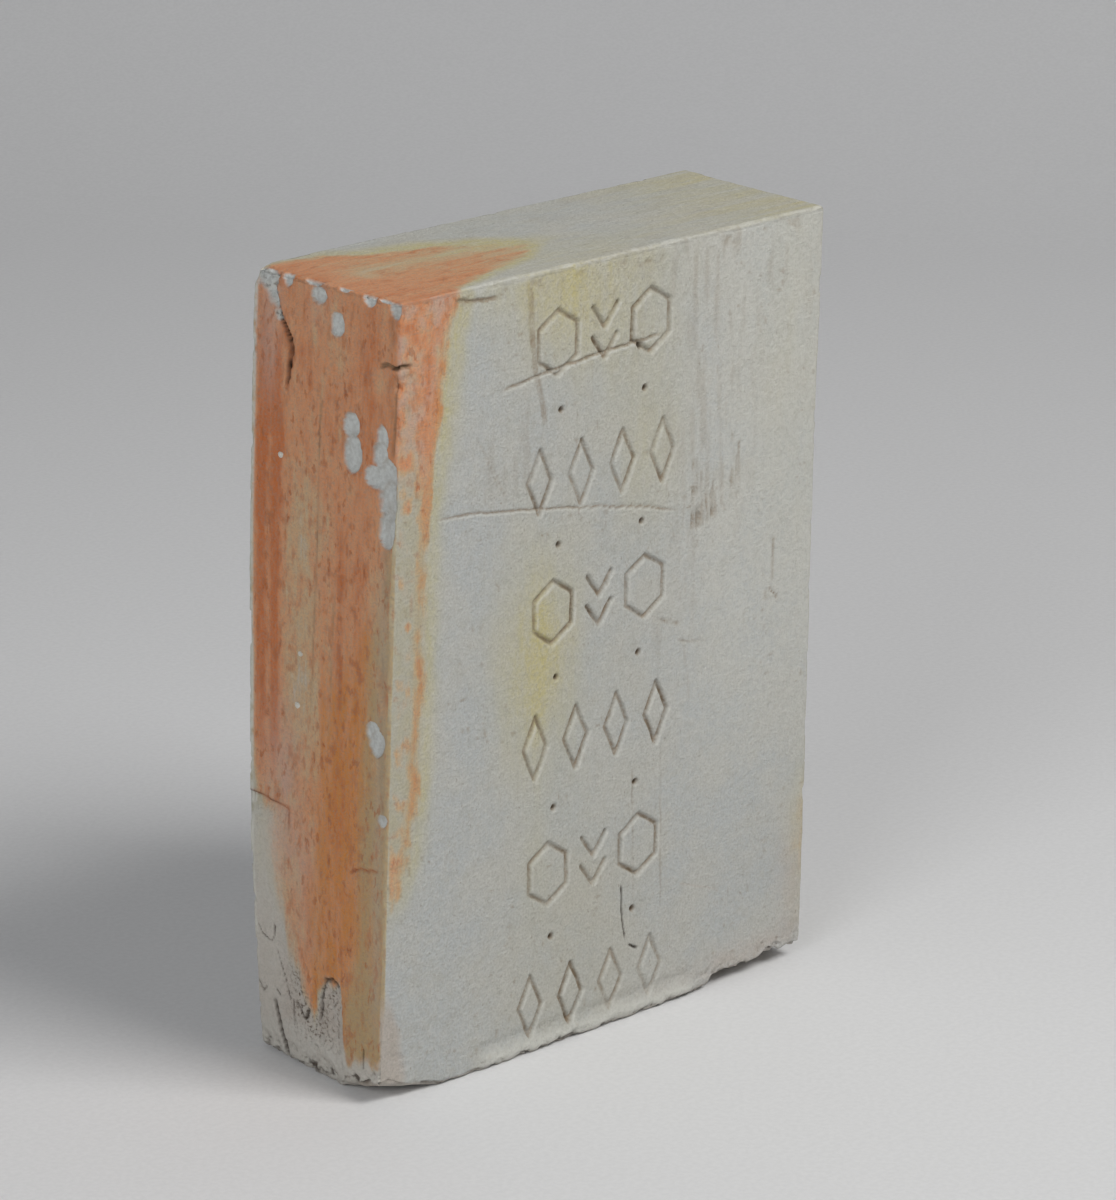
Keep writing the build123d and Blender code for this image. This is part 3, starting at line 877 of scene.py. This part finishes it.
# ---- materials
CLAY, WARM_CLAY, DRAG_GREY = (0.475, 0.495, 0.49), (0.51, 0.51, 0.475), (0.42, 0.41, 0.37)
YELLOW, SAND, CREAM = (0.545, 0.485, 0.235), (0.62, 0.61, 0.56), (0.485, 0.445, 0.315)
PEACH, ORANGE, DEEP_ORANGE = (0.58, 0.41, 0.24), (0.66, 0.305, 0.15), (0.56, 0.165, 0.05)
AMBER, OCHRE, PINK = (0.61, 0.24, 0.055), (0.47, 0.335, 0.17), (0.57, 0.37, 0.29)
GREY_CLAY_AND_SHADE, RED, RUST_AND_SHADE = (0.51, 0.455, 0.4), (0.5, 0.17, 0.06), (0.41, 0.12, 0.035)
SPECK, DUSK, GRAIN = (0.3, 0.26, 0.21), (0.4, 0.385, 0.33), (0.3, 0.28, 0.24)
FRESH_BREAK, DULL_BREAK, RUBBED_AND_HIGHLIGHT = (0.6, 0.62, 0.6), (0.5, 0.51, 0.49), (0.63, 0.625, 0.57)
PIT, DIRT_AND_SHADE, DARK = (0.17, 0.13, 0.095), (0.25, 0.18, 0.11), (0.045, 0.028, 0.018)
GROG, DULL_GROG, GROG_PORE = (0.7, 0.68, 0.62), (0.56, 0.53, 0.46), (0.34, 0.28, 0.22)
CARD, PALE_CARD = (0.74, 0.74, 0.74), (0.78, 0.78, 0.78)


def opaque(colour):
    return (*colour, 1) if isinstance(colour, tuple) else colour


class Recipe:
    """A material, and short ways to add its nodes. Sizes of noise are in millimetres."""

    def __init__(self, name, colour):
        self.colour = colour
        self.material = bpy.data.materials.new(name)
        self.material.use_nodes = True
        self.tree = self.material.node_tree
        self.shader = self.tree.nodes["Principled BSDF"]
        self.place = self.tree.nodes.new("ShaderNodeTexCoord").outputs["Object"]

    def add(self, kind, inputs, **settings):
        node = self.tree.nodes.new(kind)
        for name, value in settings.items():
            setattr(node, name, value)
        for name, value in inputs.items():
            if isinstance(value, bpy.types.NodeSocket):
                self.tree.links.new(value, node.inputs[name])
            else:
                node.inputs[name].default_value = value
        return node

    def range(self, value, low, high, to_low=0, to_high=1):
        inputs = {"Value": value, "From Min": low, "From Max": high, "To Min": to_low, "To Max": to_high}
        return self.add("ShaderNodeMapRange", inputs, interpolation_type="SMOOTHSTEP").outputs[0]

    def paint(self, name, *span):
        """How strongly one of the skin's finishes shows, as it is or through a range."""
        strength = self.add("ShaderNodeAttribute", {}, attribute_name=name).outputs["Fac"]
        return self.range(strength, *span) if span else strength

    def drawn(self, share):
        """Places squeezed along the way the clay was cut: upwards on the sides, in X on the cut ends."""
        sides, ends = (
            self.add("ShaderNodeVectorMath", {0: self.place, 1: scale}, operation="MULTIPLY").outputs[0]
            for scale in ((1, 1, share), (share, 1, 1))
        )
        inputs = {0: self.paint("cut"), 4: sides, 5: ends}
        return self.add("ShaderNodeMix", inputs, data_type="VECTOR").outputs[1]

    def noise(self, size, detail=3, vector=None):
        inputs = {"Scale": 1 / (size * MM), "Detail": detail, "Roughness": 0.6}
        inputs["Vector"] = vector or self.place
        return self.add("ShaderNodeTexNoise", inputs).outputs["Fac"]

    def spots(self, size, scatter):
        """Round spots of one size, the closer to 1 the fewer."""
        inputs = {"Scale": 1 / (size * MM), "Vector": self.place}
        cells = self.add("ShaderNodeTexVoronoi", inputs, feature="F1")
        near = self.range(cells.outputs["Distance"], 0.34, 0.12)
        chosen = self.add("ShaderNodeSeparateColor", {0: cells.outputs["Color"]}).outputs[0]
        return self.times(near, self.range(chosen, scatter, scatter + 0.08))

    def combine(self, operation, first, *others):
        for other in others:
            first = self.add("ShaderNodeMath", {0: first, 1: other}, operation=operation).outputs[0]
        return first

    def times(self, *values):
        return self.combine("MULTIPLY", *values)

    def plus(self, *values):
        return self.combine("ADD", *values)

    def mix(self, share, under, over):
        inputs = {0: share, 6: opaque(under), 7: opaque(over)}
        return self.add("ShaderNodeMix", inputs, data_type="RGBA").outputs[2]

    def lay(self, colour, *shares):
        """Covers the colour so far with another, as far as the product of its shares."""
        self.colour = self.mix(self.times(*shares), self.colour, colour)

    def finish(self, roughness, height, distance, strength):
        inputs = {"Height": height, "Distance": distance * MM, "Strength": strength}
        bump = self.add("ShaderNodeBump", inputs)
        self.tree.links.new(self.colour, self.shader.inputs["Base Color"])
        self.tree.links.new(roughness, self.shader.inputs["Roughness"])
        self.tree.links.new(bump.outputs[0], self.shader.inputs["Normal"])
        self.shader.inputs["Specular IOR Level"].default_value = 0.25
        return self.material


def lay_ground(clay, streak, sandy, mottle):
    """Bare clay with drag marks, yellow stains and sand."""
    clay.lay(WARM_CLAY, clay.range(clay.noise(16, 4), 0.35, 0.65))
    clay.lay(DRAG_GREY, clay.range(streak, 0.55, 0.8, 0, 0.35))
    clay.lay(YELLOW, clay.paint("halo"), clay.range(streak, 0.2, 0.6, 0.65, 1))
    clay.lay(SAND, sandy, 0.28)
    clay.lay(CREAM, clay.paint("cream"), clay.range(mottle, 0.2, 0.6, 0.6, 1))


def lay_flames(clay, flash, flamed, streak, mottle):
    """Peach to deep orange as the flashing grows, amber where it is yellow, and its pale edges."""
    clay.lay(PEACH, clay.range(flash, 0, 0.34))
    clay.lay(ORANGE, clay.range(flash, 0.26, 0.66))
    clay.lay(DEEP_ORANGE, clay.range(flash, 0.6, 1.05))
    amber = clay.times(clay.paint("halo", 0.3, 0.95, 0, 0.92), flamed)
    clay.lay(AMBER, amber, clay.range(streak, 0.3, 0.62, 0.3, 1), clay.paint("cut", 0, 1, 1, 0.15))
    clay.lay(OCHRE, clay.paint("ochre", 0, 0.95, 0, 0.95))
    clay.lay(PINK, clay.paint("pink"), clay.range(mottle, 0.3, 0.6, 0.5, 1))
    # grey: bare clay, and painted shade beside the end face's front edge
    clay.lay(GREY_CLAY_AND_SHADE, clay.paint("grey"), clay.range(mottle, 0.2, 0.6, 0.7, 1))


def lay_specks(clay, flash, flamed, mottle, grain):
    """Red and rusty dashes in the flame, dark specks outside it. Gives back where the rust is, which
    holds some painted shadow lines too.
    """
    short, patchy = clay.drawn(0.45), clay.range(clay.noise(7, 3), 0.35, 0.6, 0.35, 1)
    clay.lay(RED, clay.range(clay.noise(2, 4, short), 0.52, 0.7, 0, 0.6), flamed)
    dashes = clay.times(clay.range(clay.noise(1.2, 2, short), 0.58, 0.67), patchy)
    dashes = clay.times(dashes, clay.paint("cut", 0, 1, 1, 0.3), clay.paint("flash", 0.15, 0.5, 0, 0.62))
    rust = clay.plus(dashes, clay.times(clay.paint("rust"), clay.range(grain, 0.3, 0.6, 0.4, 0.9)))
    # rust, and painted shadow lines along the tear's lap and down the front edge
    clay.lay(RUST_AND_SHADE, rust)
    unflamed = clay.range(flash, 0, 0.4, 1, 0.25)
    speck = clay.range(clay.noise(0.5, 1.5, short), 0.66, 0.76)
    clay.lay(SPECK, speck, clay.range(patchy, 0.3, 1, 0.25, 0.7), unflamed)
    clay.lay(DUSK, clay.range(mottle, 0.5, 0.72, 0, 0.3), unflamed)
    clay.lay(GRAIN, clay.range(grain, 0.35, 0.75, 0, 0.42))
    return rust


def lay_wear(clay):
    """Chips, rubbed edges, pits and dirt, with painted highlights and painted shade laid among them.
    Gives back where the pits are.
    """
    broken = clay.mix(clay.range(clay.noise(0.9, 3), 0.35, 0.65), FRESH_BREAK, DULL_BREAK)
    clay.lay(broken, clay.paint("chip"))
    # rubbed wear, and painted highlights on lips
    clay.lay(RUBBED_AND_HIGHLIGHT, clay.paint("worn"), clay.range(clay.noise(1.1, 4), 0.25, 0.55, 0.35, 1))
    pitted = clay.times(clay.paint("pits"), clay.range(clay.noise(0.8, 4), 0.5, 0.68))
    clay.lay(PIT, pitted)
    # dirt, and painted shade on chip rims, under the top edge and beside the end face's front edge
    clay.lay(DIRT_AND_SHADE, clay.paint("dirt"), clay.range(clay.noise(0.8, 3), 0.2, 0.6, 0.4, 1))
    # dark marks, and painted shade inside the firing crack and along the tear
    clay.lay(DARK, clay.paint("dark"))
    return pitted


def clay_material():
    """Pale fired clay with flame colours, upright streaks on the sides and level ones on the top."""
    clay = Recipe("fired_clay", CLAY)
    drawn, mottle, grain = clay.drawn(0.16), clay.noise(3.2, 5), clay.noise(0.5, 3)
    streak, hair = clay.noise(1.6, 4, drawn), clay.noise(0.55, 2, drawn)
    sandy = clay.range(clay.noise(1.1, 4), 0.36, 0.66)
    lay_ground(clay, streak, sandy, mottle)
    flash = clay.plus(clay.paint("flash"), clay.range(streak, 0.25, 0.75, -0.09, 0.09))
    flash = clay.plus(flash, clay.range(hair, 0.3, 0.7, -0.05, 0.05))
    flash = clay.plus(flash, clay.range(mottle, 0.3, 0.7, -0.06, 0.06))
    flash = clay.times(flash, clay.paint("flash", 0.02, 0.3))
    flamed = clay.range(flash, 0.15, 0.45)
    lay_flames(clay, flash, flamed, streak, mottle)
    rust = lay_specks(clay, flash, flamed, mottle, grain)
    pitted = lay_wear(clay)
    height = clay.plus(clay.times(grain, 1.1), clay.times(hair, 0.8), clay.times(rust, -0.3))
    height = clay.plus(height, clay.times(sandy, 0.45), clay.times(pitted, -1.6))
    return clay.finish(clay.range(mottle, 0.3, 0.7, 0.72, 0.92), height, 0.22, 0.75)


def grog_material():
    """Hard off-white grain with a slightly glassy, crazed skin."""
    grog = Recipe("grog", GROG)
    blotch, pore = grog.noise(0.5, 4), grog.spots(0.3, 0.7)
    grog.lay(DULL_GROG, grog.range(blotch, 0.3, 0.7))
    grog.lay(GROG_PORE, pore)
    roughness = grog.range(blotch, 0.3, 0.7, 0.45, 0.75)
    return grog.finish(roughness, grog.plus(blotch, grog.times(pore, -1)), 0.08, 0.6)


def floor_material():
    """Plain pale matt card."""
    card = Recipe("card", CARD)
    fibre = card.noise(1.2, 4)
    card.lay(PALE_CARD, card.range(fibre, 0.3, 0.7))
    return card.finish(card.range(fibre, 0.3, 0.7, 0.85, 0.95), fibre, 0.05, 0.2)


# ---- grains of grog
GRAIN_GAP = 3  # in height, the grains lie further apart than this
GRAIN_SINK, GRAIN_HALF_DEPTH = 0.5, 0.62  # middle behind the peg's outer end, and half size in X
GRAIN_SHARE = 0.52  # half size in Y and Z, as a share of the peg's width: just over a half


def unit_ball():
    """The corner places and faces of a round ball of radius 1."""
    ball = bpy.data.meshes.new("ball")
    shape = bmesh.new()
    bmesh.ops.create_icosphere(shape, subdivisions=4, radius=1)
    shape.to_mesh(ball)
    shape.free()
    places = np.array([vertex.co for vertex in ball.vertices])
    faces = np.array([face.vertices for face in ball.polygons])
    bpy.data.meshes.remove(ball)
    return places, faces


def build_grains():
    """A rough rounded grain over each of the CAD's pegs, which it covers."""
    pegs = np.array([vertex.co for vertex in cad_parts["grog_grains"].data.vertices]) / MM
    levels = np.sort(pegs[:, 2])
    groups = np.split(levels, np.flatnonzero(np.diff(levels) > GRAIN_GAP) + 1)
    ball, ball_faces = unit_ball()
    places, faces = [], []
    for number, group in enumerate(groups):
        peg = pegs[(pegs[:, 2] >= group[0]) & (pegs[:, 2] <= group[-1])]
        low, high = peg.min(axis=0), peg.max(axis=0)
        swell = 1 + 0.16 * rough(ball + 5 * number, 0.7, 131)
        centre = np.array([low[0] + GRAIN_SINK, *(low[1:] + high[1:]) / 2])
        half = np.array([GRAIN_HALF_DEPTH, *(GRAIN_SHARE * (high[1:] - low[1:]))])
        places.append(centre + ball * swell[:, None] * half)
        faces.append(ball_faces + number * len(ball))
    return new_mesh("white_grains", np.concatenate(places), np.concatenate(faces))


# ---- studio
def build_floor():
    """A pale floor that curves up into a backdrop far behind the bar, in metres."""
    near, far, curve, side, height = -1.6, 0.6, 0.5, 2.2, 2.2
    profile = [(near, 0)]
    profile += [
        (far + curve * math.sin(turn), curve * (1 - math.cos(turn)))
        for turn in np.linspace(0, math.pi / 2, 24)
    ]
    profile.append((far + curve, height))
    away = Matrix.Rotation(VIEW_TURN, 3, "Z")
    points = [away @ Vector((x, y, z)) for y, z in profile for x in (-side, side)]
    faces = [(2 * k, 2 * k + 1, 2 * k + 3, 2 * k + 2) for k in range(len(profile) - 1)]
    floor = new_mesh("floor", np.array(points) / MM, np.array(faces))
    floor.data.materials.append(floor_material())


def add_light(name, toward, distance, size, power, colour):
    """A soft square light that looks at the middle of the bar."""
    data = bpy.data.lights.new(name, "AREA")
    data.size, data.energy, data.color = size, power, colour
    light = bpy.data.objects.new(name, data)
    direction = Vector(toward).normalized()
    light.location = Vector((0, 0, 0.08)) + direction * distance
    light.rotation_euler = direction.to_track_quat("Z", "Y").to_euler()
    bpy.context.scene.collection.objects.link(light)


def build_studio():
    build_floor()
    add_light("key", (0.25, -0.75, 1), 1.2, 0.5, 8.5, (1, 0.99, 0.975))
    add_light("side", (-1, -0.4, 0.5), 1.4, 0.6, 6, (0.98, 0.99, 1))
    add_light("rim", (0.85, 1, 0.45), 1.5, 0.7, 4.6, (1, 0.99, 0.97))
    world = bpy.data.worlds.new("studio")
    world.use_nodes = True
    background = world.node_tree.nodes["Background"]
    background.inputs[0].default_value = (0.93, 0.95, 1, 1)
    background.inputs[1].default_value = 0.17
    bpy.context.scene.world = world
    bpy.context.scene.view_settings.view_transform = "Standard"


VIEW_TURN, VIEW_LIFT, VIEW_ROLL = (math.radians(angle) for angle in (-44.6, 18.39, -1.17))
STAND_BACK, ASIDE, ABOVE = 6.902, 0.0179, 0.0314  # from the bar's middle, in bar heights


def add_camera():
    """A long lens, turned to the corner between the stamped face and the end face."""
    aim = Vector(((RIGHT + LEFT) / 2, 0, HEIGHT / 2)) * MM
    level = Matrix.Rotation(VIEW_TURN, 3, "Z") @ Matrix.Rotation(math.pi / 2 - VIEW_LIFT, 3, "X")
    data = bpy.data.cameras.new("camera")
    data.lens, data.sensor_width = 167.3, 36
    data.clip_start, data.clip_end = 0.01, 20
    camera = bpy.data.objects.new("camera", data)
    camera.matrix_world = (level @ Matrix.Rotation(-VIEW_ROLL, 3, "Z")).to_4x4()
    camera.location = aim + level @ Vector((ASIDE, ABOVE, STAND_BACK)) * HEIGHT * MM
    bpy.context.scene.collection.objects.link(camera)
    bpy.context.scene.camera = camera


# ---- the whole scene
bar = build_bar()
bar.data.materials.append(clay_material())
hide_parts("clay_body")
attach(bar, "root")

grains = build_grains()
grains.data.materials.append(grog_material())
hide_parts("grog_grains")
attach(grains, "root")

build_studio()
add_camera()
